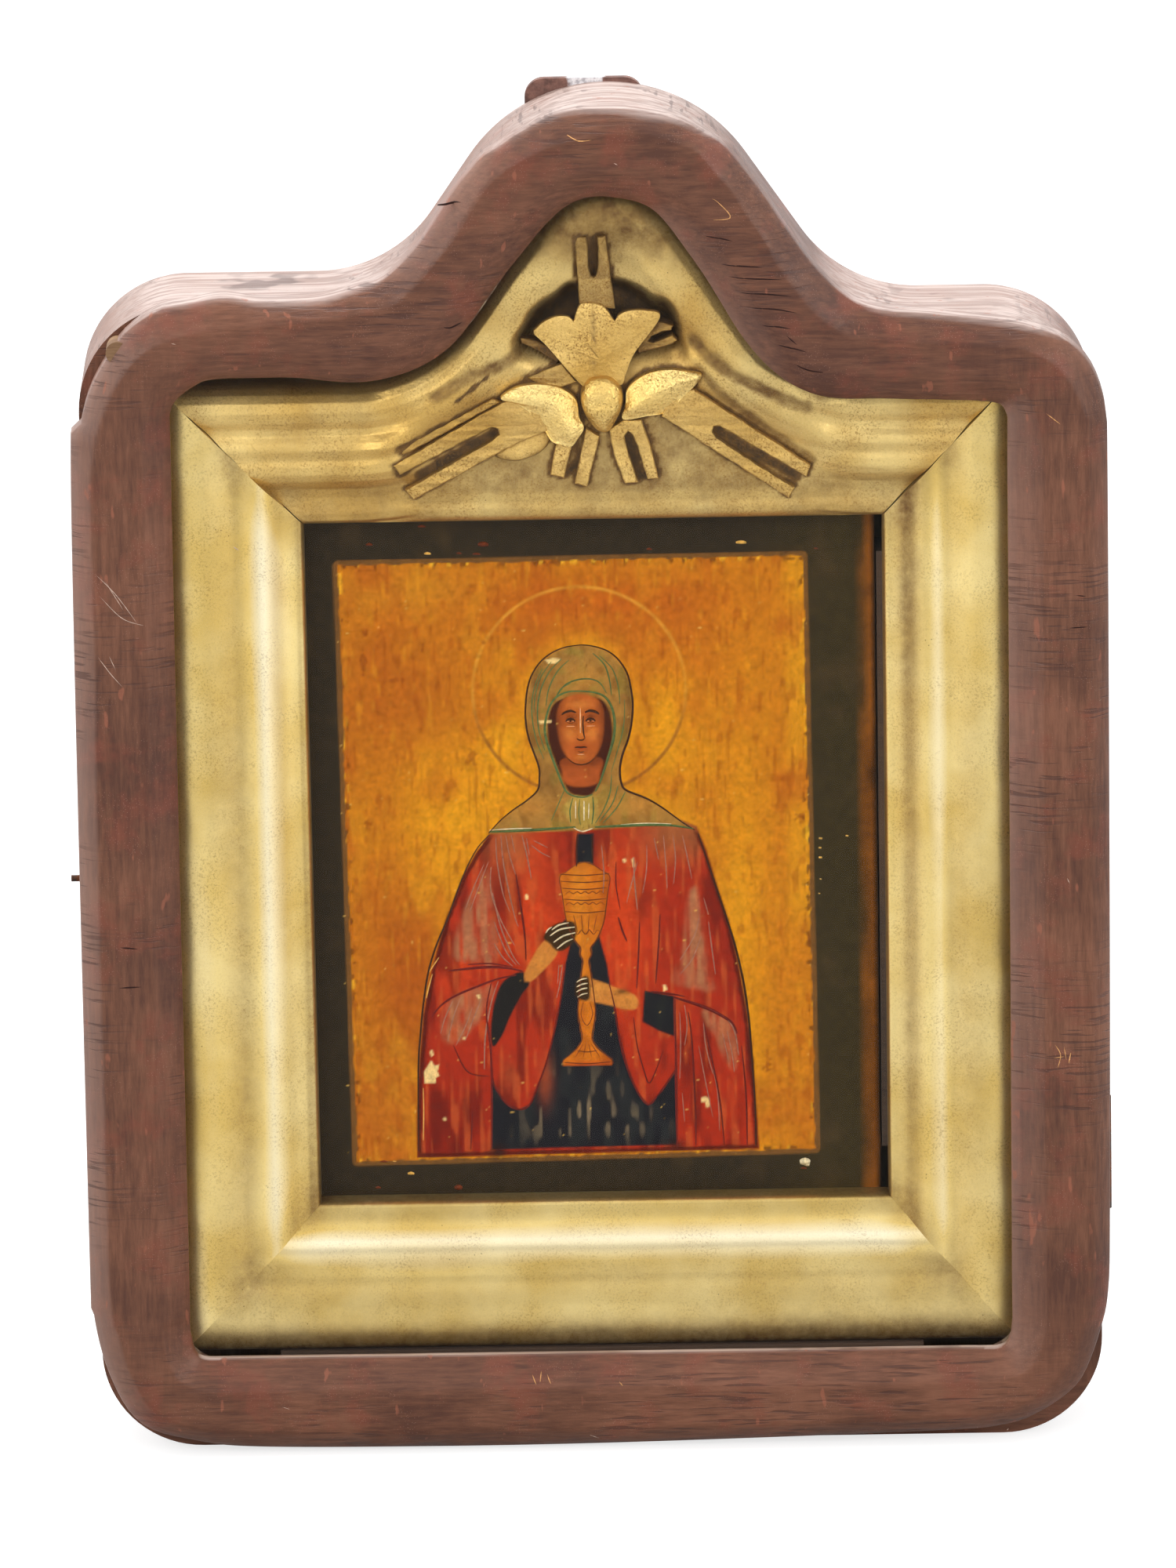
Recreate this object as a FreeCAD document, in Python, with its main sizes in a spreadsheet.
import FreeCAD, Part
import math
import os
import Sketcher

# Glazed icon case: a shaped wooden case, a hinged glazed door, a gilded carved frame
# with a dove in its arched top, and a painted wooden panel behind it.
# +X is the viewer's right, +Y points away from the viewer, +Z is up, millimetres.
# The origin is under the middle of the case, on the surface that it stands on.

V = FreeCAD.Vector

# Driving dimensions: alias, value, what it measures
DIMENSIONS = [
    ("icon_width", "179.3", "painted panel"),
    ("icon_height", "222", "painted panel"),
    ("icon_shift", "2.1", "panel left of the middle"),
    ("icon_thickness", "20", "painted panel with its ground"),
    ("ground_thickness", "1.2", "gesso ground and paint"),
    ("sight_lap_across", "1.6", "panel wider than the opening over it"),
    ("sight_lap_below", "2.7", "panel's lower edge behind the gilded frame"),
    ("sight_lap_above", "2.8", "panel's upper edge behind the gilded frame"),
    ("gilt_side_width", "41.65", "gilded frame's side mouldings"),
    ("gilt_bottom_width", "45.9", "gilded frame's lower moulding"),
    ("gilt_top_width", "44.4", "gilded frame above the opening, at the shoulders"),
    ("gilt_arch_rise", "62.4", "gilded arch above its shoulders"),
    ("gilt_lap", "2.5", "gilded frame's sides behind the door"),
    ("gilt_drop", "1.2", "gilded frame's lower edge below the door's opening"),
    ("left_shoulder_rise", "30", "door's left shoulder above the gilded one"),
    ("right_shoulder_rise", "22.5", "door's right shoulder above the gilded one"),
    ("arch_rise", "25.6", "door's arch above the gilded arch"),
    ("door_thickness", "14", "door, front to back"),
    ("door_lift", "1", "door's lower edge above the surface"),
    ("seam_gap", "0.4", "seam between the door and the case"),
    ("panel_room", "4", "room behind the panel"),
    ("arch_shift", "7.2", "arch's axis right of the middle"),
    ("flank_angle", "55.3", "slope of the arch's straight flanks, degrees"),
    ("crown_radius", "54.5", "outer curve over the arch"),
    ("hollow_radius", "40", "outer hollow from shoulder to arch"),
    ("shoulder_radius", "36", "outer upper corners"),
    ("base_radius", "34", "outer lower corners"),
    ("stile_width", "30.5", "door's upright members"),
    ("bottom_rail_width", "29.4", "door's lower member"),
    ("top_rail_width", "25.2", "door's upper member at the shoulders"),
    ("crown_band", "27.4", "door's upper member over the arch"),
    ("opening_crown_radius", "25.5", "door opening's curve in the arch"),
    ("opening_hollow_radius", "45", "door opening's hollows"),
    ("opening_corner_radius", "10", "door opening's corners"),
    ("chamfer_width", "6.8", "outer chamfer across the face"),
    ("chamfer_depth", "5", "outer chamfer down the edge"),
    ("bevel_width", "9.1", "inner bevel across the face"),
    ("bevel_depth", "5.3", "inner bevel down the opening"),
    ("glazing_lip", "8", "wood in front of the glass"),
    ("rebate_width", "5", "glazing rebate beyond the opening"),
    ("glass_thickness", "2", "door glass"),
    ("glass_play", "0.5", "room round the glass"),
    ("putty_width", "4", "putty fillet on the glass"),
    ("putty_depth", "3", "putty fillet up the rebate"),
    ("putty_edge", "0.5", "putty fillet's thin outer edge"),
    ("sprig_radius", "0.6", "glazing sprigs"),
    ("sprig_length", "7", "glazing sprigs"),
    ("sprig_inset", "15", "end sprigs from the opening's corners"),
    ("peg_radius", "3.5", "pegs in the door's corners"),
    ("peg_length", "10", "pegs in the door's corners"),
    ("peg_inset", "6", "inner peg from the opening's corner"),
    ("peg_spacing", "9", "outer peg from the inner one, sideways"),
    ("peg_rise", "3.6", "outer peg from the inner one, up or down"),
    ("case_inset", "3", "case inside the door's outline"),
    ("wall_thickness", "16", "case walls"),
    ("arch_block_half", "92", "half the arch board, each side of the axis"),
    ("dowel_radius", "2.5", "dowels in the case's joints"),
    ("dowel_length", "20", "dowels in the case's joints"),
    ("dowel_spacing", "22", "dowels across a joint"),
    ("dowel_plug", "4", "dowel's short end, in the bottom or shoulder board"),
    ("dowel_inset", "11.5", "dowels from the wall's outer face"),
    ("back_thickness", "6", "back boards"),
    ("back_rebate", "8", "rebate for the back boards"),
    ("board_gap", "0.5", "room between and round the back boards"),
    ("middle_board_width", "104", "middle back board"),
    ("tack_radius", "0.9", "tacks in the back boards"),
    ("tack_length", "14", "tacks in the back boards"),
    ("tack_head_radius", "2.4", "tack heads"),
    ("tack_head_height", "0.8", "tack heads"),
    ("side_tack_inset", "29.5", "end tacks of a side from its joints"),
    ("base_tack_inner", "31.2", "inner tacks in the bottom, from the middle"),
    ("base_tack_outer", "88.4", "outer tacks in the bottom, from the middle"),
    ("left_shoulder_tack", "93.6", "tack in the left shoulder, from the middle"),
    ("right_shoulder_tack", "109.2", "tack in the right shoulder, from the middle"),
    ("gilt_crown_radius", "27", "gilded frame's curve in the arch"),
    ("gilt_hollow_radius", "42", "gilded frame's hollows"),
    ("gilt_corner_radius", "3", "gilded frame's corners"),
    ("gilt_setback", "15", "crest of the gilded frame behind the door's face"),
    ("gilt_thickness", "17", "gilded frame, crest to back"),
    ("sight_shift", "1", "opening right of the middle"),
    ("tympanum_drop", "6.5", "field of the arched top below the crest"),
    ("field_half", "66", "half the plain field under the arch"),
    ("rim_width", "9", "raised rim along the arch"),
    ("rim_chamfer", "3", "slope of the rim on both sides"),
    ("batten_width", "22", "sunk battens at the back face"),
    ("batten_depth", "8", "sunk battens"),
    ("batten_undercut", "2", "slope of a batten's sides"),
    ("batten_inset", "46", "battens from the panel's ends"),
    ("batten_play", "0.2", "room round a batten"),
    ("ledge_width", "18.5", "strips behind the gilded frame"),
    ("ledge_depth", "14", "strips behind the gilded frame"),
    ("ledge_end_inset", "18", "side strips' ends from the gilded frame's"),
    ("ledge_rise", "10", "lower strip above the gilded frame's edge"),
    ("arch_ledge_half", "20", "half the strip in the arch"),
    ("arch_ledge_drop", "12", "strip in the arch below the gilded frame's top"),
    ("rest_length", "200", "strip that carries the gilded frame"),
    ("rest_setback", "2", "that strip behind the case's front"),
    ("guide_width", "8", "strips beside the panel"),
    ("guide_inset", "16", "those strips' ends from the panel's"),
    ("guide_play", "0.5", "room beside the panel"),
    ("shelf_length", "120", "strip that carries the panel"),
    ("shelf_height", "9", "strip that carries the panel"),
    ("cleat_length", "26", "iron cleats over the panel"),
    ("cleat_width", "12", "iron cleats over the panel"),
    ("cleat_thickness", "1.5", "iron cleats over the panel"),
    ("hinge_length", "36", "hinges"),
    ("hinge_base_height", "72", "lower hinge's lower end"),
    ("hinge_inset", "40.5", "upper hinge's upper end below the shoulder"),
    ("barrel_radius", "1.5", "hinge barrel"),
    ("hinge_pin_radius", "0.75", "hinge pin"),
    ("pin_play", "0.05", "room round the hinge pin"),
    ("knuckle_gap", "0.3", "between hinge knuckles"),
    ("leaf_thickness", "1", "hinge leaves"),
    ("leaf_width", "18", "hinge leaves"),
    ("hinge_clearance", "0.3", "barrel from the wood"),
    ("leaf_screw_radius", "0.9", "screws in the hinge leaves"),
    ("leaf_screw_length", "9", "screws in the hinge leaves"),
    ("leaf_screw_spacing", "22", "screws in the hinge leaves"),
    ("leaf_screw_reach", "11.7", "screws from the hinge's axis"),
    ("catch_height", "181", "catch nail above the surface"),
    ("catch_setback", "8", "catch nail behind the door"),
    ("catch_nail_radius", "1", "catch nail"),
    ("catch_nail_length", "22", "catch nail"),
    ("catch_nail_proud", "3.2", "catch nail beyond the door's edge"),
    ("clip_width", "14", "spring clip on the door"),
    ("clip_thickness", "0.8", "spring clip on the door"),
    ("clip_foot", "16", "clip's foot on the door's back"),
    ("clip_reach", "13", "clip's fork along the case"),
    ("clip_screw_reach", "9.6", "screw from the clip's bend"),
    ("clip_play", "0.3", "clip from the nail and the case"),
    ("hanger_width", "36.6", "hanger plate"),
    ("hanger_height", "45", "hanger plate"),
    ("hanger_drop", "1.8", "hanger plate's upper edge below the arch"),
    ("hanger_thickness", "3", "hanger plate"),
    ("hanger_shift", "0.4", "hanger plate right of the middle"),
    ("hanger_corner_radius", "6", "hanger plate's upper corners"),
    ("hanger_hole_radius", "3.5", "hole that goes over the wall nail"),
    ("hanger_hole_drop", "25", "hole below the plate's upper edge"),
    ("hanger_nail_inset", "6", "hanger nails from the plate's sides"),
    ("hanger_nail_drop", "11", "upper nails below the plate's edge"),
    ("hanger_nail_length", "12", "hanger nails"),
    ("wall_nail_room", "8", "hole in the back board behind the hanger"),
    ("dove_drop", "68.4", "middle of the dove's body below the gilded arch"),
    ("dove_shift", "4.3", "dove right of the middle"),
    ("dove_body_width", "13", "dove's body"),
    ("dove_body_height", "18", "dove's body"),
    ("dove_relief", "8", "dove's body above the field"),
    ("wing_thickness", "3.5", "wings"),
    ("wing_lift", "6", "right wing's tip above the left one's"),
    ("tail_thickness", "3.5", "tail"),
    ("ray_width", "10.5", "carved rays"),
    ("ray_thickness", "3.5", "carved rays"),
    ("ray_slot", "3.6", "slot that forks a ray"),
    ("ray_top_gap", "4.6", "upper ray's end below the rim"),
    ("ray_end_gap", "5.6", "other rays' ends above the lip"),
    ("ray_reach", "60", "side rays' ends from the arch's axis"),
]

# Sizes that follow from those, from the panel outwards
DERIVED = [
    (
        "case_depth",
        "gilt_setback + gilt_thickness + icon_thickness + panel_room + back_thickness"
        " - door_thickness - seam_gap",
    ),
    ("sight_width", "icon_width - sight_lap_across"),
    ("sight_height", "icon_height - sight_lap_below - sight_lap_above"),
    ("gilt_width", "sight_width + 2 * gilt_side_width"),
    ("gilt_base_height", "door_lift + bottom_rail_width - gilt_drop"),
    ("sight_base_height", "gilt_base_height + gilt_bottom_width"),
    ("icon_base_height", "sight_base_height - sight_lap_below"),
    ("gilt_shoulder_height", "sight_base_height + sight_height + gilt_top_width"),
    ("gilt_arch_height", "gilt_shoulder_height + gilt_arch_rise"),
    ("door_width", "gilt_width - 2 * gilt_lap + 2 * stile_width"),
    ("left_shoulder_height", "gilt_shoulder_height + left_shoulder_rise"),
    ("right_shoulder_height", "gilt_shoulder_height + right_shoulder_rise"),
    ("arch_height", "gilt_arch_height + arch_rise"),
    ("hanger_top_height", "arch_height - hanger_drop"),
    ("dove_height", "gilt_arch_height - dove_drop"),
]

doc = FreeCAD.newDocument("icon_case")
sheet = doc.addObject("Spreadsheet::Sheet", "Sizes")
rows = DIMENSIONS + [(alias, "=" + formula, "follows") for alias, formula in DERIVED]
for row, (alias, content, note) in enumerate(rows, start=1):
    sheet.set(f"A{row}", alias)
    sheet.setAlias(f"B{row}", alias)
    sheet.set(f"B{row}", content)
    sheet.set(f"C{row}", note)
doc.recompute()


class Size:
    """A number together with the sheet formula that gives it."""

    def __init__(self, value, text=None):
        self.value = float(value)
        self.text = repr(float(value)) if text is None else text

    def __add__(self, other):
        other = size(other)
        return Size(self.value + other.value, f"({self.text} + {other.text})")

    def __sub__(self, other):
        other = size(other)
        return Size(self.value - other.value, f"({self.text} - {other.text})")

    def __mul__(self, other):
        other = size(other)
        return Size(self.value * other.value, f"({self.text} * {other.text})")

    def __truediv__(self, other):
        other = size(other)
        return Size(self.value / other.value, f"({self.text} / {other.text})")

    def __neg__(self):
        return Size(-self.value, f"(-1 * {self.text})")

    def __radd__(self, other):
        return size(other) + self

    def __rsub__(self, other):
        return size(other) - self

    def __rmul__(self, other):
        return size(other) * self

    def __float__(self):
        return self.value


def size(value):
    """Turn a plain number into a Size; a Size stays as it is."""
    return value if isinstance(value, Size) else Size(value)


def cosine(angle):
    """Cosine of a Size in degrees."""
    return Size(math.cos(math.radians(angle.value)), f"cos({angle.text} * 1 deg)")


def tangent(angle):
    """Tangent of a Size in degrees."""
    return Size(math.tan(math.radians(angle.value)), f"tan({angle.text} * 1 deg)")


class Sheet:
    """The sheet's cells as Sizes."""


d = Sheet()
for alias, content, note in rows:
    setattr(d, alias, Size(getattr(sheet, alias), f"Sizes.{alias}"))

# Planes that the pieces share
front = -(d.door_thickness + d.seam_gap + d.case_depth) / 2
door_back = front + d.door_thickness
case_front = door_back + d.seam_gap
case_back = case_front + d.case_depth
boards_front = case_back - d.back_thickness
glass_front = front + d.glazing_lip
glass_back = glass_front + d.glass_thickness
gilt_front = front + d.gilt_setback
gilt_back = gilt_front + d.gilt_thickness
field_front = gilt_front + d.tympanum_drop
icon_back = gilt_back + d.icon_thickness
ground_back = gilt_back + d.ground_thickness
case_half = d.door_width / 2 - d.case_inset
inner_half = case_half - d.wall_thickness

# Boxes that pick out one member reach this far past the case
below = size(-1)
past = d.door_width
high = d.arch_height + d.wall_thickness

SPRIGS_ON_A_STILE = 4
TACKS_ON_A_SIDE = 5
HALVES = (-0.5, 0.5)

nodes = []


def node(feature, name):
    """Give a finished piece its name and keep it for export."""
    feature.Label = name
    nodes.append(feature)
    return feature


def bind(feature, prop, value):
    """Tie a property to the sheet."""
    feature.setExpression(prop, size(value).text)


def place(feature, x, y, z):
    """Tie a feature's position to the sheet."""
    bind(feature, "Placement.Base.x", x)
    bind(feature, "Placement.Base.y", y)
    bind(feature, "Placement.Base.z", z)


def block(name, xs, ys, zs):
    """A box between two planes on each axis."""
    box = doc.addObject("Part::Box", name)
    bind(box, "Length", size(xs[1]) - xs[0])
    bind(box, "Width", size(ys[1]) - ys[0])
    bind(box, "Height", size(zs[1]) - zs[0])
    place(box, xs[0], ys[0], zs[0])
    return box


TURNS = {
    "+x": FreeCAD.Rotation(V(0, 1, 0), 90),
    "-x": FreeCAD.Rotation(V(0, 1, 0), -90),
    "+y": FreeCAD.Rotation(V(1, 0, 0), -90),
    "-y": FreeCAD.Rotation(V(1, 0, 0), 90),
    "+z": FreeCAD.Rotation(),
    "-z": FreeCAD.Rotation(V(1, 0, 0), 180),
}


def rod(name, radius, length, start, direction):
    """A cylinder from a start point along an axis."""
    cylinder = doc.addObject("Part::Cylinder", name)
    cylinder.Placement = FreeCAD.Placement(V(), TURNS[direction])
    bind(cylinder, "Radius", radius)
    bind(cylinder, "Height", length)
    place(cylinder, *start)
    return cylinder


def fuse(name, pieces):
    """Join pieces that form one solid."""
    joined = doc.addObject("Part::MultiFuse", name)
    joined.Shapes = pieces
    joined.Refine = True
    return joined


def group(name, pieces):
    """Keep like pieces together as separate solids."""
    together = doc.addObject("Part::Compound", name)
    together.Links = pieces
    return together


def cut(name, base, tools):
    """Take one or more tools out of a base."""
    tool = tools[0] if len(tools) == 1 else group(name + "_tools", tools)
    result = doc.addObject("Part::Cut", name)
    result.Base = base
    result.Tool = tool
    return result


def common(name, base, tool):
    """Keep what two shapes share."""
    result = doc.addObject("Part::Common", name)
    result.Base = base
    result.Tool = tool
    return result


def headed_nail(name, start, direction, radius, length, head_radius, head_height):
    """A nail whose head starts flush at the start point and sinks along the direction."""
    shank = rod(name + "_shank", radius, length, start, direction)
    head = rod(name + "_head", head_radius, head_height, start, direction)
    return fuse(name, [shank, head])


def screw(name, start, direction, plate):
    """A small screw whose head is sunk half way into a plate."""
    return headed_nail(
        name, start, direction, d.leaf_screw_radius, d.leaf_screw_length, d.leaf_screw_radius * 2, plate / 2
    )


class Outline:
    """The case's front outline: straight shoulders, hollows and a round arch between them."""

    def __init__(self, half, base, left, right, top, crown, hollow, corner, foot_corner):
        self.half = half
        self.base = base
        self.left = left
        self.right = right
        self.top = top
        self.crown = crown
        self.hollow = hollow
        self.corner = corner
        self.foot_corner = foot_corner

    def grown(self, amount):
        """The parallel outline a distance outside this one, or inside where negative."""
        return Outline(
            self.half + amount,
            self.base - amount,
            self.left + amount,
            self.right + amount,
            self.top + amount,
            self.crown + amount,
            self.hollow - amount,
            self.corner + amount,
            self.foot_corner + amount,
        )

    def corners(self):
        """Meeting points of the straight runs, as (x, z, radius of the curve there)."""
        rise = self.crown / cosine(d.flank_angle) - self.crown
        peak = self.top + rise
        left_run = (peak - self.left) / tangent(d.flank_angle)
        right_run = (peak - self.right) / tangent(d.flank_angle)
        return [
            (-self.half, self.base, self.foot_corner),
            (self.half, self.base, self.foot_corner),
            (self.half, self.right, self.corner),
            (d.arch_shift + right_run, self.right, self.hollow),
            (d.arch_shift, peak, self.crown),
            (d.arch_shift - left_run, self.left, self.hollow),
            (-self.half, self.left, self.corner),
        ]


def rounded_corner(before, corner, after, radius):
    """The arc that rounds a corner: its ends, its centre, and whether it turns left."""
    point = V(corner[0], corner[1], 0)
    to_before = (V(before[0], before[1], 0) - point).normalize()
    to_after = (V(after[0], after[1], 0) - point).normalize()
    half_angle = to_before.getAngle(to_after) / 2
    middle_way = (to_before + to_after).normalize()
    reach = radius / math.tan(half_angle)
    centre = point + middle_way * (radius / math.sin(half_angle))
    turns_left = to_after.cross(to_before).z > 0
    return point + to_before * reach, point + to_after * reach, centre, turns_left


def counterclockwise_arc(start, end, centre):
    """The arc from start to end that runs counterclockwise round its centre."""
    out = start - centre
    back = end - centre
    first = math.atan2(out.y, out.x)
    last = math.atan2(back.y, back.x)
    if last < first:
        last += 2 * math.pi
    return Part.ArcOfCircle(Part.Circle(centre, V(0, 0, 1), out.Length), first, last)


def new_sketch(name, owner, plane="XZ_Plane"):
    """An empty sketch seen from the front, or on one of its own body's origin planes."""
    if owner is None:
        sketch = doc.addObject("Sketcher::SketchObject", name)
        sketch.Placement = FreeCAD.Placement(V(), FreeCAD.Rotation(V(1, 0, 0), 90))
    else:
        sketch = owner.newObject("Sketcher::SketchObject", name)
        sketch.AttachmentSupport = (origin_plane(owner, plane), [""])
        sketch.MapMode = "FlatFace"
    return sketch


def rounded_sketch(name, corners, owner=None):
    """A closed sketch of straight runs with a tangent arc at every corner, tied to the sheet."""
    sketch = new_sketch(name, owner)
    count = len(corners)
    flat = [(float(x), float(z)) for x, z, radius in corners]
    arcs = []
    for i in range(count):
        arcs.append(rounded_corner(flat[i - 1], flat[i], flat[(i + 1) % count], float(corners[i][2])))
    for i in range(count):
        sketch.addGeometry(Part.LineSegment(arcs[i][1], arcs[(i + 1) % count][0]), False)
    for start, end, centre, turns_left in arcs:
        ends = (start, end) if turns_left else (end, start)
        sketch.addGeometry(counterclockwise_arc(ends[0], ends[1], centre), False)
    for x, z in flat:
        sketch.addGeometry(Part.Point(V(x, z, 0)), True)
    for i in range(count):
        x, z, radius = corners[i]
        arc = count + i
        mark = 2 * count + i
        tie_point(sketch, mark, x, z)
        sketch.addConstraint(Sketcher.Constraint("PointOnObject", mark, 1, i))
        sketch.addConstraint(Sketcher.Constraint("PointOnObject", mark, 1, (i - 1) % count))
        first, last = (1, 2) if arcs[i][3] else (2, 1)
        sketch.addConstraint(Sketcher.Constraint("Tangent", (i - 1) % count, 2, arc, first))
        sketch.addConstraint(Sketcher.Constraint("Tangent", i, 1, arc, last))
        tie(sketch, Sketcher.Constraint("Radius", arc, float(radius)), radius)
    return sketch


def tie(sketch, constraint, value):
    """Add a dimension to a sketch and bind it to the sheet."""
    index = sketch.addConstraint(constraint)
    sketch.setExpression(f"Constraints[{index}]", size(value).text)


def tie_point(sketch, geometry, x, z, position=1):
    """Fix a point of a sketch at two Sizes, whatever their signs."""
    x = size(x)
    z = size(z)
    for kind, value in (("DistanceX", x), ("DistanceY", z)):
        if value.value >= 0:
            tie(sketch, Sketcher.Constraint(kind, -1, 1, geometry, position, value.value), value)
        else:
            tie(sketch, Sketcher.Constraint(kind, geometry, position, -1, 1, -value.value), -value)


def polygon_sketch(name, points, owner=None, plane="XZ_Plane"):
    """A closed sketch of straight lines through points that are tied to the sheet."""
    sketch = new_sketch(name, owner, plane)
    count = len(points)
    flat = [V(float(x), float(z), 0) for x, z in points]
    for i in range(count):
        sketch.addGeometry(Part.LineSegment(flat[i], flat[(i + 1) % count]), False)
    for i in range(count):
        sketch.addConstraint(Sketcher.Constraint("Coincident", i, 2, (i + 1) % count, 1))
        tie_point(sketch, i, points[i][0], points[i][1])
    return sketch


def origin_plane(body, role):
    """One of a body's own origin planes."""
    for feature in body.Origin.OriginFeatures:
        if feature.Role == role:
            return feature
    raise RuntimeError(f"{body.Name} has no {role}")


def slab(name, profile, near, far):
    """The solid under a front view profile between two planes."""
    solid = doc.addObject("Part::Extrusion", name)
    solid.Base = profile
    solid.DirMode = "Custom"
    solid.Dir = V(0, 1, 0)
    solid.Solid = True
    bind(solid, "LengthFwd", far)
    bind(solid, "LengthRev", -size(near))
    return solid


def outline_slab(name, outline, near, far):
    """The solid under a case outline between two planes."""
    return slab(name, rounded_sketch(name + "_sketch", outline.corners()), near, far)


def sloped_slab(name, near_outline, near, far_outline, far):
    """The solid between two case outlines on two planes, with sloping sides."""
    sections = []
    for tag, outline, plane in (("near", near_outline, near), ("far", far_outline, far)):
        sketch = rounded_sketch(f"{name}_{tag}", outline.corners())
        bind(sketch, "Placement.Base.y", plane)
        sections.append(sketch)
    solid = doc.addObject("Part::Loft", name)
    solid.Sections = sections
    solid.Solid = True
    solid.Ruled = True
    return solid


def edges_on_plane(shape, y, inside):
    """Names of the edges on a plane that lie within, or beyond, the door's opening."""
    names = []
    for index, edge in enumerate(shape.Edges, start=1):
        ends = [vertex.Point for vertex in edge.Vertexes]
        if any(abs(point.y - y) > 1e-6 for point in ends):
            continue
        if inside == opening_holds(edge):
            names.append(f"Edge{index}")
    return names


def opening_holds(edge):
    """Whether an edge is part of the door's opening."""
    point = edge.valueAt((edge.FirstParameter + edge.LastParameter) / 2)
    margin = float(d.stile_width) / 2
    low = float(d.door_lift) + float(d.bottom_rail_width) / 2
    half = float(d.door_width) / 2 - margin
    if abs(point.x) > half or point.z < low:
        return False
    distance = door_edge_wire.distToShape(Part.Vertex(V(point.x, 0, point.z)))[0]
    return distance > float(d.chamfer_width) + 1


# The outlines that everything follows
door_outline = Outline(
    d.door_width / 2,
    d.door_lift,
    d.left_shoulder_height,
    d.right_shoulder_height,
    d.arch_height,
    d.crown_radius,
    d.hollow_radius,
    d.shoulder_radius,
    d.base_radius,
)
opening_outline = Outline(
    d.door_width / 2 - d.stile_width,
    d.door_lift + d.bottom_rail_width,
    d.left_shoulder_height - d.top_rail_width,
    d.right_shoulder_height - d.top_rail_width,
    d.arch_height - d.crown_band,
    d.opening_crown_radius,
    d.opening_hollow_radius,
    d.opening_corner_radius,
    d.opening_corner_radius,
)
case_outline = door_outline.grown(-d.case_inset)
case_outline.base = size(0)
case_cavity = case_outline.grown(-d.wall_thickness)
gilt_outline = Outline(
    d.gilt_width / 2,
    d.gilt_base_height,
    d.gilt_shoulder_height,
    d.gilt_shoulder_height,
    d.gilt_arch_height,
    d.gilt_crown_radius,
    d.gilt_hollow_radius,
    d.gilt_corner_radius,
    d.gilt_corner_radius,
)

# Door blank: padded, opened, chamfered outside and bevelled inside
door_blank = doc.addObject("PartDesign::Body", "door_blank")
door_sketch = rounded_sketch("door_sketch", door_outline.corners(), door_blank)
bind(door_sketch, "AttachmentOffset.Base.z", -door_back)
door_pad = door_blank.newObject("PartDesign::Pad", "door_pad")
door_pad.Profile = door_sketch
bind(door_pad, "Length", d.door_thickness)
opening_sketch = rounded_sketch("opening_sketch", opening_outline.corners(), door_blank)
bind(opening_sketch, "AttachmentOffset.Base.z", -front)
opening_pocket = door_blank.newObject("PartDesign::Pocket", "opening_pocket")
opening_pocket.Profile = opening_sketch
bind(opening_pocket, "Length", d.door_thickness)
doc.recompute()
door_edge_wire = Part.Wire(Part.__sortEdges__(door_sketch.Shape.Edges))
door_edge_wire.translate(V(0, -door_sketch.Shape.BoundBox.YMin, 0))

for label, inside, across, down in (
    ("outer_chamfer", False, d.chamfer_width, d.chamfer_depth),
    ("inner_bevel", True, d.bevel_width, d.bevel_depth),
):
    base = door_blank.Tip
    chamfer = door_blank.newObject("PartDesign::Chamfer", label)
    chamfer.Base = (base, edges_on_plane(base.Shape, float(front), inside))
    chamfer.ChamferType = "Two distances"
    bind(chamfer, "Size", across)
    bind(chamfer, "Size2", down)
    doc.recompute()

# Glazing: rebate, glass, sprigs and putty
rebate = outline_slab("rebate", opening_outline.grown(d.rebate_width), glass_front, door_back)
glass_outline = opening_outline.grown(d.rebate_width - d.glass_play)
glass = outline_slab("glass", glass_outline, glass_front, glass_back)
node(glass, "door_glass")

opening_half = d.door_width / 2 - d.stile_width
opening_base = d.door_lift + d.bottom_rail_width
sprig_run = opening_outline.right - opening_base - 2 * d.sprig_inset
sprig_spacing = sprig_run / (SPRIGS_ON_A_STILE - 1)
sprig_pieces = []
for side in (-1, 1):
    for step in range(SPRIGS_ON_A_STILE):
        sprig_x = side * (opening_half + d.rebate_width - d.sprig_length / 2)
        sprig_z = opening_base + d.sprig_inset + sprig_spacing * step
        start = (sprig_x, glass_back + d.sprig_radius, sprig_z)
        direction = "-x" if side < 0 else "+x"
        sprig_pieces.append(rod("sprig", d.sprig_radius, d.sprig_length, start, direction))
sprigs = node(group("sprigs", sprig_pieces), "glazing_sprigs")

putty_block = outline_slab(
    "putty_block", opening_outline.grown(d.rebate_width), glass_back, glass_back + d.putty_depth
)
putty_hollow = sloped_slab(
    "putty_hollow",
    opening_outline.grown(d.rebate_width - d.putty_width),
    glass_back,
    opening_outline.grown(d.rebate_width - d.putty_edge),
    glass_back + d.putty_depth,
)
node(cut("putty", putty_block, [putty_hollow, sprigs]), "glazing_putty")

# Pegs that pin the halved corners of the door, two to a corner
peg_pieces = []
for side, shoulder in ((-1, d.left_shoulder_height), (1, d.right_shoulder_height)):
    for corner, way in ((opening_base, -1), (shoulder - d.top_rail_width, 1)):
        for step in (0, 1):
            across = opening_half + d.peg_inset + d.peg_spacing * step
            level = corner + way * (d.peg_inset + d.peg_rise * step)
            start = (side * across, door_back, level)
            peg_pieces.append(rod("peg", d.peg_radius, d.peg_length, start, "-y"))
pegs = node(group("pegs", peg_pieces), "door_pegs")

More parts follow.
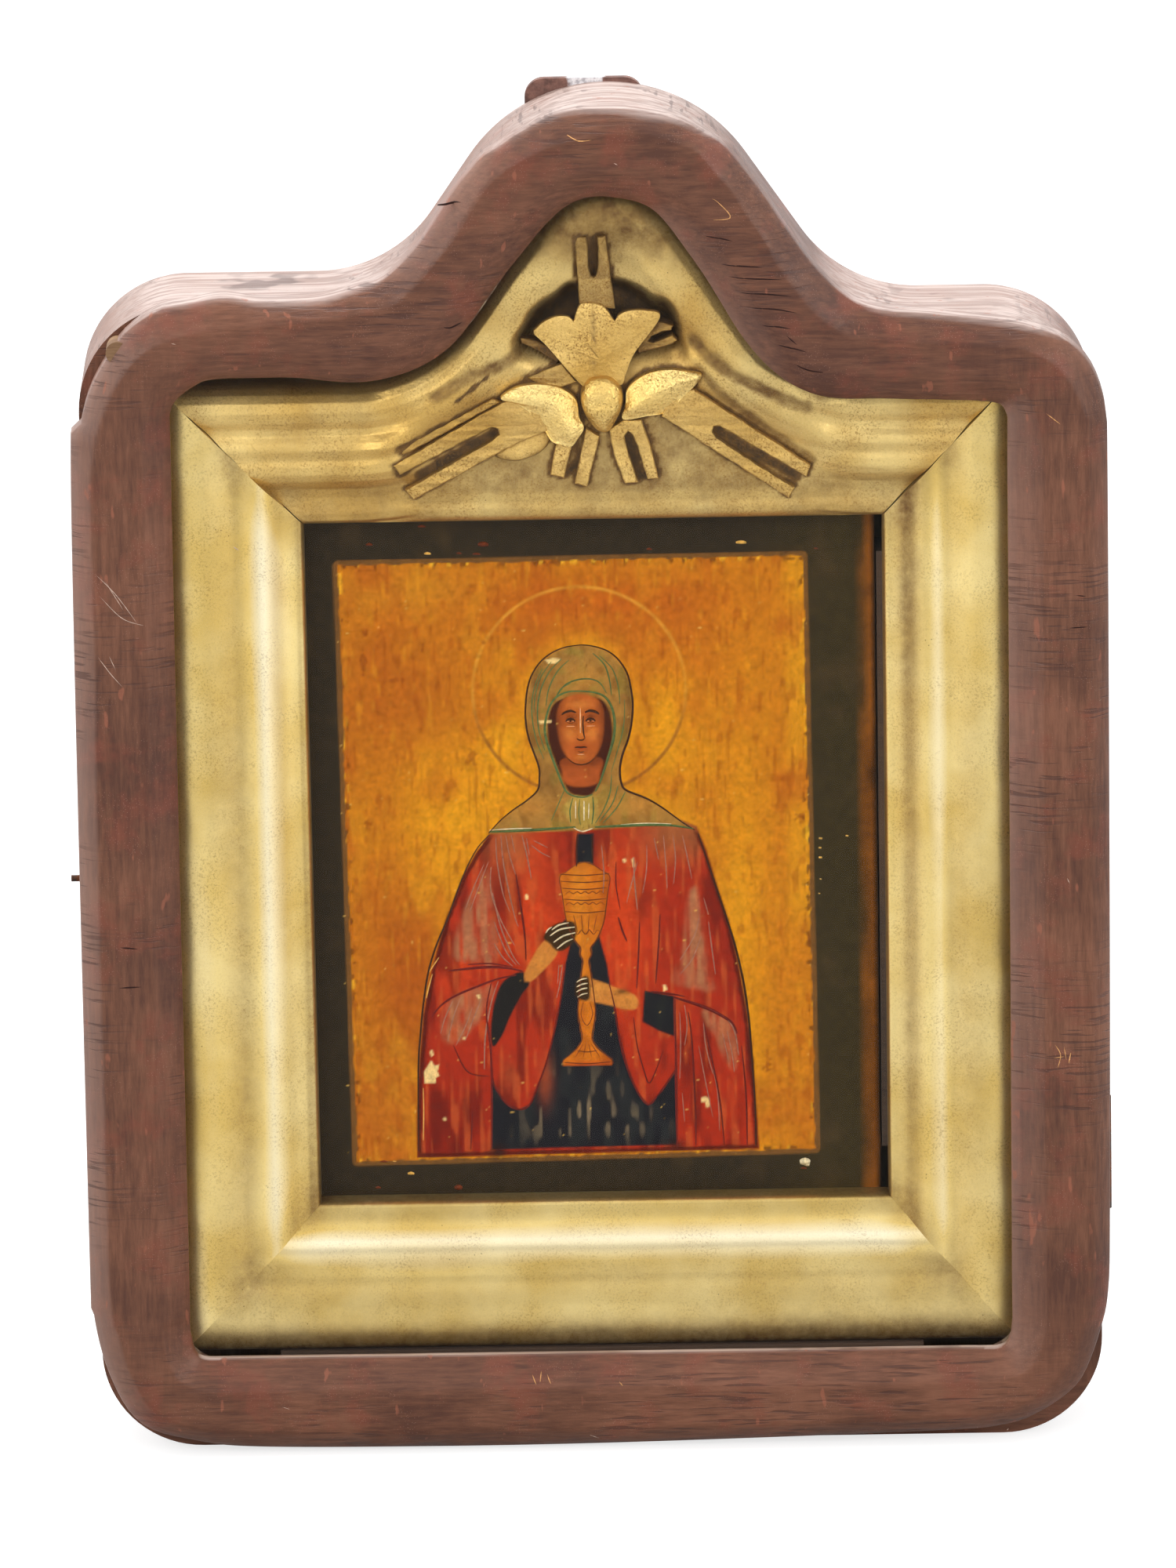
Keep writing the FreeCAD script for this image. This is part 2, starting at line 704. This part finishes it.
# Hinges on the right: a leaf let into the case's side, one let into the door's back
hinge_x = case_half + d.barrel_radius + d.hinge_clearance
hinge_y = door_back + d.barrel_radius + d.hinge_clearance
knuckle = d.hinge_length / 3
case_leaves = []
door_leaves = []
case_screws = []
door_screws = []
leaf_pockets_case = []
leaf_pockets_door = []
for place_name, base in (
    ("lower", d.hinge_base_height),
    ("upper", d.right_shoulder_height - d.hinge_inset - d.hinge_length),
):
    top = base + d.hinge_length
    axis_foot = (hinge_x, hinge_y, base)
    bore = rod("hinge_bore", d.hinge_pin_radius + d.pin_play, d.hinge_length, axis_foot, "+z")
    leaf_x = (case_half - d.leaf_thickness, case_half)
    leaf_y = (hinge_y, hinge_y + d.leaf_width)
    plate = block("case_plate", leaf_x, leaf_y, (base, top))
    leaf_pockets_case.append(plate)
    parts = [plate]
    for low in (base, base + 2 * knuckle):
        parts.append(rod("knuckle", d.barrel_radius, knuckle, (hinge_x, hinge_y, low), "+z"))
        web_x = (case_half - d.leaf_thickness, hinge_x)
        web_y = (hinge_y, hinge_y + d.barrel_radius)
        parts.append(block("web", web_x, web_y, (low, low + knuckle)))
    leaf = cut("case_leaf", fuse("case_leaf_blank", parts), [bore])
    screws = []
    for step in HALVES:
        level = base + d.hinge_length / 2 + d.leaf_screw_spacing * step
        start = (case_half, hinge_y + d.leaf_screw_reach, level)
        screws.append(screw("leaf_screw", start, "-x", d.leaf_thickness))
    case_screws += screws
    case_leaves.append((f"case_hinge_leaf_{place_name}", leaf, screws))

    plate_x = (hinge_x - d.leaf_width, hinge_x)
    plate_y = (door_back - d.leaf_thickness, door_back)
    plate = block("door_plate", plate_x, plate_y, (base, top))
    leaf_pockets_door.append(plate)
    low = base + knuckle + d.knuckle_gap
    height = knuckle - 2 * d.knuckle_gap
    turning = rod("door_knuckle", d.barrel_radius, height, (hinge_x, hinge_y, low), "+z")
    web = block(
        "door_web", (hinge_x - d.barrel_radius / 2, hinge_x + d.barrel_radius / 2),
        (door_back - d.leaf_thickness, hinge_y), (low, low + height)
    )
    leaf_pockets_door.append(block(
        "web_pocket", (hinge_x, hinge_x + d.barrel_radius / 2), plate_y, (low, low + height)
    ))
    leaf = cut("door_leaf", fuse("door_leaf_blank", [plate, turning, web]), [bore])
    screws = []
    for step in HALVES:
        level = base + d.hinge_length / 2 + d.leaf_screw_spacing * step
        start = (hinge_x - d.leaf_screw_reach, door_back, level)
        screws.append(screw("leaf_screw", start, "-y", d.leaf_thickness))
    door_screws += screws
    door_leaves.append((f"door_hinge_leaf_{place_name}", leaf, screws))
    pin = rod("hinge_pin", d.hinge_pin_radius, d.hinge_length, axis_foot, "+z")
    node(pin, f"hinge_pin_{place_name}")

for name, leaf, screws in case_leaves + door_leaves:
    node(cut(name, leaf, screws), name)
node(group("case_screw_group", case_screws), "hinge_screws_case")
node(group("door_screw_group", door_screws), "hinge_screws_door")

# Catch on the left: a nail in the case's side and a forked spring clip on the door's back
catch_y = door_back + d.catch_setback
nail_out = d.door_width / 2 + d.catch_nail_proud
catch_start = (-nail_out, catch_y, d.catch_height)
catch_nail = rod("catch", d.catch_nail_radius, d.catch_nail_length, catch_start, "+x")
node(catch_nail, "catch_nail")
clip_x = (-(case_half + d.clip_play + d.clip_thickness), -(case_half + d.clip_play))
clip_z = (d.catch_height - d.clip_width / 2, d.catch_height + d.clip_width / 2)
clip_y = (door_back - d.clip_thickness, door_back)
clip_foot = block("clip_foot", (clip_x[0], clip_x[0] + d.clip_foot), clip_y, clip_z)
clip_arm = block("clip_arm", clip_x, (clip_y[0], clip_y[0] + d.clip_reach), clip_z)
slot_half = d.catch_nail_radius + d.clip_play
slot_y = catch_y - slot_half
slot_z = (d.catch_height - slot_half, d.catch_height + slot_half)
clip_slot = block("clip_slot", clip_x, (slot_y, clip_y[0] + d.clip_reach), slot_z)
clip_screw_start = (clip_x[0] + d.clip_screw_reach, door_back, d.catch_height)
clip_screw = screw("clip_screw", clip_screw_start, "-y", d.clip_thickness)
node(cut("clip", fuse("clip_blank", [clip_foot, clip_arm]), [clip_slot, clip_screw]), "catch_clip")
node(clip_screw, "catch_clip_screw")

# Door members: stiles and rails halved together at the corners
middle_y = front + d.door_thickness / 2
door_all = (front, door_back)
door_near = (front, middle_y)
door_far = (middle_y, door_back)
left_joint = d.left_shoulder_height - d.top_rail_width
right_joint = d.right_shoulder_height - d.top_rail_width
let_in = [rebate, sprigs, pegs, clip_foot, clip_screw] + leaf_pockets_door + door_screws
door_cut = cut("door_cut", door_blank, let_in)
split = d.left_shoulder_height / 2
for side, name, top in (
    (-1, "door_left_stile", left_joint),
    (1, "door_right_stile", right_joint),
):
    edge = sorted((side * opening_half, side * past), key=float)
    region = fuse(name + "_region", [
        block("body", edge, door_all, (opening_base, top)),
        block("lap", edge, door_near, (below, high)),
    ])
    node(common(name, door_cut, region), name)
bottom_region = fuse("bottom_region", [
    block("body", (-opening_half, opening_half), door_all, (below, split)),
    block("lap", (-past, past), door_far, (below, opening_base)),
])
node(common("bottom_rail", door_cut, bottom_region), "door_bottom_rail")
top_region = fuse("top_region", [
    block("body", (-opening_half, opening_half), door_all, (split, high)),
    block("lap_left", (-past, -opening_half), door_far, (left_joint, high)),
    block("lap_right", (opening_half, past), door_far, (right_joint, high)),
])
node(common("top_rail", door_cut, top_region), "door_top_rail")

# Case: a shaped ring of boards, with a rebate behind for the back boards
case_ring = cut("case_ring", outline_slab("case_slab", case_outline, case_front, case_back), [
    outline_slab("case_hollow", case_cavity, case_front, case_back),
    outline_slab("case_rebate", case_cavity.grown(d.back_rebate), boards_front, case_back),
])
middle_case_y = (case_front + boards_front) / 2
dowel_pieces = []
for side, shoulder_joint in ((-1, case_cavity.left), (1, case_cavity.right)):
    bottom_start = d.wall_thickness - d.dowel_plug
    top_start = shoulder_joint + d.dowel_plug - d.dowel_length
    for level in (bottom_start, top_start):
        for step in HALVES:
            start = (side * (case_half - d.dowel_inset), middle_case_y + d.dowel_spacing * step, level)
            dowel_pieces.append(rod("dowel", d.dowel_radius, d.dowel_length, start, "+z"))
arch_left = d.arch_shift - d.arch_block_half
arch_right = d.arch_shift + d.arch_block_half
for joint_x, top in ((arch_left, case_outline.left), (arch_right, case_outline.right)):
    for step in HALVES:
        depth = middle_case_y + d.dowel_spacing * step
        start = (joint_x - d.dowel_length / 2, depth, top - d.wall_thickness / 2)
        dowel_pieces.append(rod("dowel", d.dowel_radius, d.dowel_length, start, "+x"))
dowels = node(group("dowels", dowel_pieces), "case_dowels")

# Back boards: three upright planks in the rebate, tacked round the edge
board_outline = case_cavity.grown(d.back_rebate - d.board_gap)
board_stock = outline_slab("board_stock", board_outline, boards_front, case_back)
board_half = d.middle_board_width / 2
tack_places = []
rebate_half = d.back_rebate / 2
tack_run = case_cavity.left - d.wall_thickness - 2 * d.side_tack_inset
tack_spacing = tack_run / (TACKS_ON_A_SIDE - 1)
for side in (-1, 1):
    for step in range(TACKS_ON_A_SIDE):
        level = d.wall_thickness + d.side_tack_inset + tack_spacing * step
        tack_places.append((side * (inner_half + rebate_half), level))
    for across in (d.base_tack_inner, d.base_tack_outer):
        tack_places.append((side * across, d.wall_thickness - rebate_half))
tack_places.append((-d.left_shoulder_tack, case_cavity.left + rebate_half))
tack_places.append((d.right_shoulder_tack, case_cavity.right + rebate_half))
tack_sizes = (d.tack_radius, d.tack_length, d.tack_head_radius, d.tack_head_height)
tack_pieces = [headed_nail("tack", (x, case_back, z), "-y", *tack_sizes) for x, z in tack_places]
tacks = node(group("tacks", tack_pieces), "back_tacks")

# Hanger plate: rounded above, with one hole for the wall nail and four nails of its own
hanger_half = d.hanger_width / 2
hanger_base = d.hanger_top_height - d.hanger_height
hanger_body = doc.addObject("PartDesign::Body", "hanger_body")
hanger_sketch = polygon_sketch("hanger_sketch", [
    (d.hanger_shift - hanger_half, hanger_base),
    (d.hanger_shift + hanger_half, hanger_base),
    (d.hanger_shift + hanger_half, d.hanger_top_height),
    (d.hanger_shift - hanger_half, d.hanger_top_height),
], hanger_body)
bind(hanger_sketch, "AttachmentOffset.Base.z", -case_back)
hanger_pad = hanger_body.newObject("PartDesign::Pad", "hanger_pad")
hanger_pad.Profile = hanger_sketch
hanger_pad.Reversed = True
bind(hanger_pad, "Length", d.hanger_thickness)
doc.recompute()
upright = []
for index, edge in enumerate(hanger_pad.Shape.Edges, start=1):
    ends = [vertex.Point for vertex in edge.Vertexes]
    on_top = all(abs(point.z - float(d.hanger_top_height)) < 1e-6 for point in ends)
    if on_top and abs(ends[0].x - ends[1].x) < 1e-6:
        upright.append(f"Edge{index}")
hanger_fillet = hanger_body.newObject("PartDesign::Fillet", "hanger_fillet")
hanger_fillet.Base = (hanger_pad, upright)
bind(hanger_fillet, "Radius", d.hanger_corner_radius)
hole_z = d.hanger_top_height - d.hanger_hole_drop
hole_sketch = hanger_body.newObject("Sketcher::SketchObject", "hole_sketch")
hole_sketch.AttachmentSupport = (origin_plane(hanger_body, "XZ_Plane"), [""])
hole_sketch.MapMode = "FlatFace"
bind(hole_sketch, "AttachmentOffset.Base.z", -case_back)
hole_middle = V(float(d.hanger_shift), float(hole_z), 0)
hole_radius = float(d.hanger_hole_radius)
hole_sketch.addGeometry(Part.Circle(hole_middle, V(0, 0, 1), hole_radius), False)
tie_point(hole_sketch, 0, d.hanger_shift, hole_z, position=3)
tie(hole_sketch, Sketcher.Constraint("Radius", 0, hole_radius), d.hanger_hole_radius)
hole_pocket = hanger_body.newObject("PartDesign::Pocket", "hole_pocket")
hole_pocket.Profile = hole_sketch
bind(hole_pocket, "Length", d.hanger_thickness)
doc.recompute()
if abs(hole_pocket.Shape.Volume - hanger_fillet.Shape.Volume) < 1:
    hole_pocket.Reversed = True
plate_back = case_back + d.hanger_thickness
hanger_nail_pieces = []
for side in (-1, 1):
    across = d.hanger_shift + side * (hanger_half - d.hanger_nail_inset)
    for level, length in (
        (d.hanger_top_height - d.hanger_nail_drop, d.hanger_nail_length),
        (hanger_base + d.hanger_nail_inset, d.hanger_thickness + d.back_thickness),
    ):
        start = (across, plate_back, level)
        hanger_nail_pieces.append(headed_nail(
            "hanger_nail", start, "-y", d.tack_radius, length, d.tack_head_radius, d.tack_head_height
        ))
hanger_nails = node(group("hanger_nail_group", hanger_nail_pieces), "hanger_nails")
node(cut("hanger", hanger_body, [hanger_nails]), "hanger_plate")

wall_nail_hole = rod(
    "wall_nail_hole", d.wall_nail_room, d.back_thickness, (d.hanger_shift, boards_front, hole_z), "+y"
)
boards = cut("boards", board_stock, [tacks, hanger_nails, wall_nail_hole])
gap = d.board_gap / 2
for name, xs in (
    ("back_board_left", (-past, -board_half - gap)),
    ("back_board_middle", (-board_half + gap, board_half - gap)),
    ("back_board_right", (board_half + gap, past)),
):
    region = block(name + "_region", xs, (boards_front, case_back), (below, high))
    node(common(name, boards, region), name)

# Strips in the case that carry the gilded frame
ledge_z = (d.gilt_base_height + d.ledge_end_inset, d.gilt_shoulder_height - d.ledge_end_inset)
ledge_y = (gilt_back, gilt_back + d.ledge_depth)
for side, name in ((-1, "frame_ledge_left"), (1, "frame_ledge_right")):
    xs = sorted((side * inner_half, side * (inner_half - d.ledge_width)), key=float)
    node(block(name, xs, ledge_y, ledge_z), name)
gilt_half = d.gilt_width / 2
rest_half = d.rest_length / 2
rest_x = (-rest_half, rest_half)
rest_y = (case_front + d.rest_setback, gilt_back)
bottom_ledge_z = (d.wall_thickness, d.gilt_base_height + d.ledge_rise)
node(block("rest", rest_x, rest_y, (d.wall_thickness, d.gilt_base_height)), "frame_rest")
node(block("bottom_ledge", rest_x, ledge_y, bottom_ledge_z), "frame_ledge_bottom")
arch_ledge_x = (d.arch_shift - d.arch_ledge_half, d.arch_shift + d.arch_ledge_half)
arch_ledge_z = (d.gilt_arch_height - d.arch_ledge_drop, high)
arch_ledge = common(
    "arch_ledge",
    outline_slab("arch_ledge_stock", case_cavity, ledge_y[0], ledge_y[1]),
    block("arch_ledge_region", arch_ledge_x, ledge_y, arch_ledge_z),
)
node(arch_ledge, "frame_ledge_arch")

# Case members: sides between the bottom and the shoulder boards, arch board in the middle
driven_in = [dowels, tacks, hanger_nails, catch_nail] + leaf_pockets_case + case_screws
case_cut = cut("case_cut", case_ring, driven_in)
case_all = (case_front, case_back)
for name, xs, zs in (
    ("case_bottom", (-past, past), (below, d.wall_thickness)),
    ("case_left_side", (-past, size(0)), (d.wall_thickness, case_cavity.left)),
    ("case_right_side", (size(0), past), (d.wall_thickness, case_cavity.right)),
    ("case_left_shoulder", (-past, arch_left), (case_cavity.left, high)),
    ("case_right_shoulder", (arch_right, past), (case_cavity.right, high)),
):
    node(common(name, case_cut, block(name + "_region", xs, case_all, zs)), name)
arch_region = block("case_arch_region", (arch_left, arch_right), case_all, (case_cavity.right, high))
node(common("case_arch_piece", case_cut, arch_region), "case_arch")

# Gilded frame: moulding profile across its width, from the outer edge to the sight edge.
# Each pair is a share of the width and a share of the thickness below the crest; an arc
# passes its middle pair.
PROFILE_ARCS = [
    ((0.00, 0.38), (0.17, 0.08), (0.36, 0.00)),
    ((0.36, 0.00), (0.50, 0.06), (0.62, 0.27)),
    ((0.62, 0.27), (0.72, 0.18), (0.79, 0.25)),
    ((0.79, 0.25), (0.87, 0.48), (0.95, 0.47)),
    ((0.95, 0.47), (0.985, 0.49), (1.00, 0.59)),
]
LIP_SHARE = 0.15


def moulding_face(width, crest, back, place_point):
    """The moulding's section as a face; place_point puts an across and a height in space."""
    deep = back - crest
    edges = []
    for start, middle, end in PROFILE_ARCS:
        points = [place_point(share * width, crest + drop * deep) for share, drop in (start, middle, end)]
        edges.append(Part.Arc(*points).toShape())
    first = place_point(0, crest + PROFILE_ARCS[0][0][1] * deep)
    last = place_point(width, crest + PROFILE_ARCS[-1][2][1] * deep)
    foot_last = place_point(width, back)
    foot_first = place_point(0, back)
    edges.append(Part.makeLine(last, foot_last))
    edges.append(Part.makeLine(foot_last, foot_first))
    edges.append(Part.makeLine(foot_first, first))
    return Part.Face(Part.Wire(Part.__sortEdges__(edges)))


def moulding(name, outer_a, outer_b, sight_a, sight_b, inward):
    """A straight length of moulding mitred at both ends, between outer and sight corners."""
    crest = float(gilt_front)
    back = float(gilt_back)
    width = (sight_a - outer_a).dot(inward)
    section = moulding_face(
        width, crest, back, lambda across, y: outer_a + inward * across + V(0, y, 0)
    )
    solid = section.extrude(outer_b - outer_a)
    corners = [outer_a, outer_b, sight_b, sight_a, outer_a]
    mitred = Part.Face(Part.makePolygon([point + V(0, crest - 1, 0) for point in corners]))
    piece = doc.addObject("Part::Feature", name)
    piece.Shape = solid.common(mitred.extrude(V(0, back - crest + 2, 0)))
    return piece


sight_top = d.sight_base_height + d.sight_height
sight_left = float(d.sight_shift - d.sight_width / 2)
sight_right = float(d.sight_shift + d.sight_width / 2)
sight_low = float(d.sight_base_height)
sight_high = float(sight_top)
outer_x = float(gilt_half)
outer_low = float(d.gilt_base_height)
outer_high = float(d.gilt_shoulder_height)
low_left = V(-outer_x, 0, outer_low)
low_right = V(outer_x, 0, outer_low)
high_left = V(-outer_x, 0, outer_high)
high_right = V(outer_x, 0, outer_high)
sight_low_left = V(sight_left, 0, sight_low)
sight_low_right = V(sight_right, 0, sight_low)
sight_high_left = V(sight_left, 0, sight_high)
sight_high_right = V(sight_right, 0, sight_high)
left_run = moulding("left_run", low_left, high_left, sight_low_left, sight_high_left, V(1, 0, 0))
right_run = moulding("right_run", high_right, low_right, sight_high_right, sight_low_right, V(-1, 0, 0))
bottom_run = moulding("bottom_run", low_right, low_left, sight_low_right, sight_low_left, V(0, 0, 1))
top_moulding = moulding("top_run", high_left, high_right, sight_high_left, sight_high_right, V(0, 0, -1))
node(left_run, "gilt_left_moulding")
node(right_run, "gilt_right_moulding")
node(bottom_run, "gilt_bottom_moulding")

# Arched top of the gilded frame: a flat field with a raised rim along the arch
pediment_region = doc.addObject("Part::Feature", "pediment_region")
pediment_corners = [sight_high_left, sight_high_right, high_right, V(outer_x, 0, float(high)),
                    V(-outer_x, 0, float(high)), high_left, sight_high_left]
pediment_region.Shape = Part.Face(
    Part.makePolygon([point + V(0, float(gilt_front) - 1, 0) for point in pediment_corners])
).extrude(V(0, float(d.gilt_thickness) + 2, 0))
field = outline_slab("field", gilt_outline, field_front, gilt_back)
rim_top = gilt_front + d.rim_chamfer
inner_rim = gilt_outline.grown(-d.rim_width)
rim_foot = inner_rim.grown(-d.rim_chamfer)
for inner in (inner_rim, rim_foot):
    inner.corner = d.gilt_corner_radius
    inner.foot_corner = d.gilt_corner_radius
rim_crest = gilt_outline.grown(-d.gilt_corner_radius / 2)
rim_slopes = cut(
    "rim_slopes",
    sloped_slab("rim_outside", rim_crest, gilt_front, gilt_outline, rim_top),
    [sloped_slab("rim_inside", inner_rim, gilt_front, rim_foot, rim_top)],
)
rim_base = cut(
    "rim_base",
    outline_slab("rim_base_slab", gilt_outline, rim_top, field_front),
    [outline_slab("rim_base_hollow", rim_foot, rim_top, field_front)],
)
roll_reach = (1 - PROFILE_ARCS[1][2][0]) * (d.gilt_shoulder_height - sight_top)
lip_reach = LIP_SHARE * (d.gilt_shoulder_height - sight_top)
gilt_all = (gilt_front - 1, gilt_back)
inner_moulding = fuse("inner_moulding", [
    common("lip_run", top_moulding, block(
        "lip_region", (-gilt_half, gilt_half), gilt_all, (sight_top, sight_top + lip_reach)
    )),
    common("roll_run_left", top_moulding, block(
        "roll_region_left", (-gilt_half, d.arch_shift - d.field_half), gilt_all,
        (sight_top, sight_top + roll_reach)
    )),
    common("roll_run_right", top_moulding, block(
        "roll_region_right", (d.arch_shift + d.field_half, gilt_half), gilt_all,
        (sight_top, sight_top + roll_reach)
    )),
])
field_above = common("field_above", field, block(
    "field_region", (-gilt_half, gilt_half), (field_front, gilt_back), (sight_top + lip_reach, high)
))
pediment_blank = fuse("pediment_blank", [field_above, rim_slopes, rim_base, inner_moulding])
node(common("pediment", pediment_blank, pediment_region), "gilt_pediment")

# Dove and rays, carved apart and glued to the field
def leaf_prism(name, points, back, thickness):
    """A thin carved piece: a closed outline of arcs through its points, in pairs."""
    placed = [V(float(x), float(back) - thickness, float(z)) for x, z in points]
    edges = []
    for i in range(0, len(placed), 2):
        edges.append(Part.Arc(placed[i], placed[i + 1], placed[(i + 2) % len(placed)]).toShape())
    face = Part.Face(Part.Wire(edges))
    piece = doc.addObject("Part::Feature", name)
    piece.Shape = face.extrude(V(0, thickness, 0))
    return piece


dove_x = float(d.dove_shift)
dove_z = float(d.dove_height)
body_shape = doc.addObject("Part::Ellipsoid", "body_shape")
bind(body_shape, "Radius1", d.dove_relief)
bind(body_shape, "Radius2", d.dove_body_width / 2)
bind(body_shape, "Radius3", d.dove_body_height / 2)
body_shape.Placement = FreeCAD.Placement(V(), FreeCAD.Rotation(V(1, 0, 0), V(0, 0, 1), V(0, -1, 0)))
place(body_shape, d.dove_shift, field_front, d.dove_height)
# Each wing, in body widths: out from the dove's middle and up from it, then share of the lift
WING_OUTLINE = [
    (0.35, -0.23, 0), (0.65, -0.69, 0.5), (1.12, -0.92, 1), (1.88, -0.46, 1),
    (2.35, 0.19, 1), (1.42, 0.46, 1), (0.35, 0.31, 0), (0.30, 0.04, 0),
]
span = float(d.dove_body_width)
wings = []
for name, side, lift in (("dove_wing_left", -1, 0), ("dove_wing_right", 1, float(d.wing_lift))):
    outline = [
        (dove_x + side * out * span, dove_z + up * span + share * lift) for out, up, share in WING_OUTLINE
    ]
    wing = leaf_prism(name + "_shape", outline, field_front, float(d.wing_thickness))
    wings.append(node(cut(name + "_cut", wing, [body_shape]), name))

# The fan tail, in body widths: sideways and up from the dove's middle
TAIL_OUTLINE = [
    (-0.38, 0.54), (-0.77, 1.08), (-1.46, 1.65), (-1.08, 2.04), (-0.62, 1.92), (-0.19, 2.38),
    (0.31, 2.00), (0.85, 2.19), (1.35, 1.85), (0.77, 1.15), (0.38, 0.54), (0.00, 0.46),
]
tail_points = [(dove_x + across * span, dove_z + up * span) for across, up in TAIL_OUTLINE]
tail = leaf_prism("tail_shape", tail_points, field_front, float(d.tail_thickness))
node(cut("tail_cut", tail, [body_shape]), "dove_tail")
body_half_x = (d.dove_shift - d.dove_body_width, d.dove_shift + d.dove_body_width)
body_half_y = (field_front - d.dove_relief * 2, field_front)
body_half_z = (d.dove_height - d.dove_body_height, d.dove_height + d.dove_body_height)
body_half = block("body_half", body_half_x, body_half_y, body_half_z)
node(common("body_front", body_shape, body_half), "dove_body")


FORK_SHARE = 0.68


def ray(name, root, end, wide):
    """A flat bar on the field from a root to an end, slotted from its far end."""
    run = V(end[0] - root[0], 0, end[1] - root[1])
    thick = float(d.ray_thickness)
    slot = float(d.ray_slot)
    fork = run.Length * FORK_SHARE
    bar = Part.makeBox(run.Length, thick, wide, V(0, 0, -wide / 2))
    gap_bar = Part.makeBox(fork, thick, slot, V(run.Length - fork, 0, -slot / 2))
    shape = bar.cut(gap_bar)
    shape.rotate(V(), V(0, -1, 0), math.degrees(math.atan2(run.z, run.x)))
    shape.translate(V(root[0], float(field_front) - thick, root[1]))
    piece = doc.addObject("Part::Feature", name)
    piece.Shape = shape
    return piece


# Each ray: its root in body widths from the dove's middle, then its end on the gilded field
lip_top = float(sight_top + lip_reach)
axis_x = float(d.arch_shift)
low_end = lip_top + float(d.ray_end_gap)
top_end = float(rim_foot.top - d.ray_top_gap)
side_reach = float(d.ray_reach)
ray_width = float(d.ray_width)
RAYS = [
    ("ray_top", -0.15, 2.41, (dove_x - 0.15 * span, top_end)),
    ("ray_left", -1.31, -0.42, (axis_x - side_reach, low_end)),
    ("ray_right", 1.54, -0.46, (axis_x + side_reach, low_end)),
    ("ray_lower_left", -0.38, -0.74, (dove_x - 0.75 * span, low_end)),
    ("ray_lower_right", 0.46, -0.75, (dove_x + 0.89 * span, low_end)),
]
for name, across, up, end in RAYS:
    bar = ray(name + "_bar", (dove_x + across * span, dove_z + up * span), end, ray_width)
    node(cut(name + "_cut", bar, [body_shape] + wings), name)

# Painted panel: board with two sunk battens, and its ground in front
icon_x = (-d.icon_shift - d.icon_width / 2, -d.icon_shift + d.icon_width / 2)
icon_top = d.icon_base_height + d.icon_height
node(block("ground", icon_x, (gilt_back, ground_back), (d.icon_base_height, icon_top)), "icon_ground")


def batten(name, level, play):
    """A dovetailed batten, wider inside the panel than at its back face."""
    body = doc.addObject("PartDesign::Body", name + "_body")
    half = d.batten_width / 2
    section = polygon_sketch(name + "_section", [
        (icon_back, level - half - play),
        (icon_back, level + half + play),
        (icon_back - d.batten_depth - play, level + half + d.batten_undercut + play),
        (icon_back - d.batten_depth - play, level - half - d.batten_undercut - play),
    ], body, "YZ_Plane")
    pad = body.newObject("PartDesign::Pad", name + "_pad")
    pad.Profile = section
    bind(section, "AttachmentOffset.Base.z", icon_x[0])
    bind(pad, "Length", d.icon_width)
    return body


levels = (
    ("lower", d.icon_base_height + d.batten_inset),
    ("upper", icon_top - d.batten_inset),
)
grooves = []
for tag, level in levels:
    node(batten(f"batten_{tag}", level, size(0)), f"icon_batten_{tag}")
    grooves.append(batten(f"groove_{tag}", level, d.batten_play))
icon_stock = block("icon_stock", icon_x, (ground_back, icon_back), (d.icon_base_height, icon_top))
node(cut("icon_board_cut", icon_stock, grooves), "icon_board")

# Strips on the gilded frame's back that hold the panel, and iron cleats over them
guide_z = (d.icon_base_height + d.guide_inset, icon_top - d.guide_inset)
cleat_levels = (d.icon_base_height + d.batten_inset, icon_top - d.batten_inset)
left_guide = (icon_x[0] - d.guide_play - d.guide_width, icon_x[0] - d.guide_play)
right_guide = (icon_x[1] + d.guide_play, icon_x[1] + d.guide_play + d.guide_width)
guide_y = (gilt_back, icon_back)
shelf_half = d.shelf_length / 2
cleat_screws = []
cleats = []
for xs, sign in ((left_guide, 1), (right_guide, -1)):
    middle = (xs[0] + xs[1]) / 2
    outer_end = middle - sign * d.guide_width / 2
    across = sorted((outer_end, outer_end + sign * d.cleat_length), key=float)
    for level in cleat_levels:
        cleat_y = (icon_back, icon_back + d.cleat_thickness)
        cleat_z = (level - d.cleat_width / 2, level + d.cleat_width / 2)
        cleats.append(block("cleat", across, cleat_y, cleat_z))
        cleat_screws.append(screw("cleat_screw", (middle, cleat_y[1], level), "-y", d.cleat_thickness))
screw_group = node(group("cleat_screw_group", cleat_screws), "cleat_screws")
node(cut("cleat_cut", group("cleat_group", cleats), [screw_group]), "panel_cleats")
for name, xs in (("panel_guide_left", left_guide), ("panel_guide_right", right_guide)):
    node(cut(name + "_cut", block(name + "_strip", xs, guide_y, guide_z), [screw_group]), name)
shelf_x = (-d.icon_shift - shelf_half, -d.icon_shift + shelf_half)
shelf_z = (d.icon_base_height - d.shelf_height, d.icon_base_height)
node(block("shelf", shelf_x, guide_y, shelf_z), "panel_shelf")

# Nothing is written unless every feature is sound
doc.recompute()
for feature in doc.Objects:
    if "Invalid" in feature.State or "Error" in feature.State:
        raise RuntimeError(f"{feature.Label} failed: {feature.getStatusString()}")
for feature in nodes:
    if feature.Shape.isNull() or not feature.Shape.isValid() or not feature.Shape.Solids:
        raise RuntimeError(f"{feature.Label} has no sound solid")

os.makedirs("parts", exist_ok=True)
for feature in nodes:
    feature.Shape.exportStep(os.path.join("parts", f"{feature.Label}.step"))
print(f"{len(nodes)} nodes written")
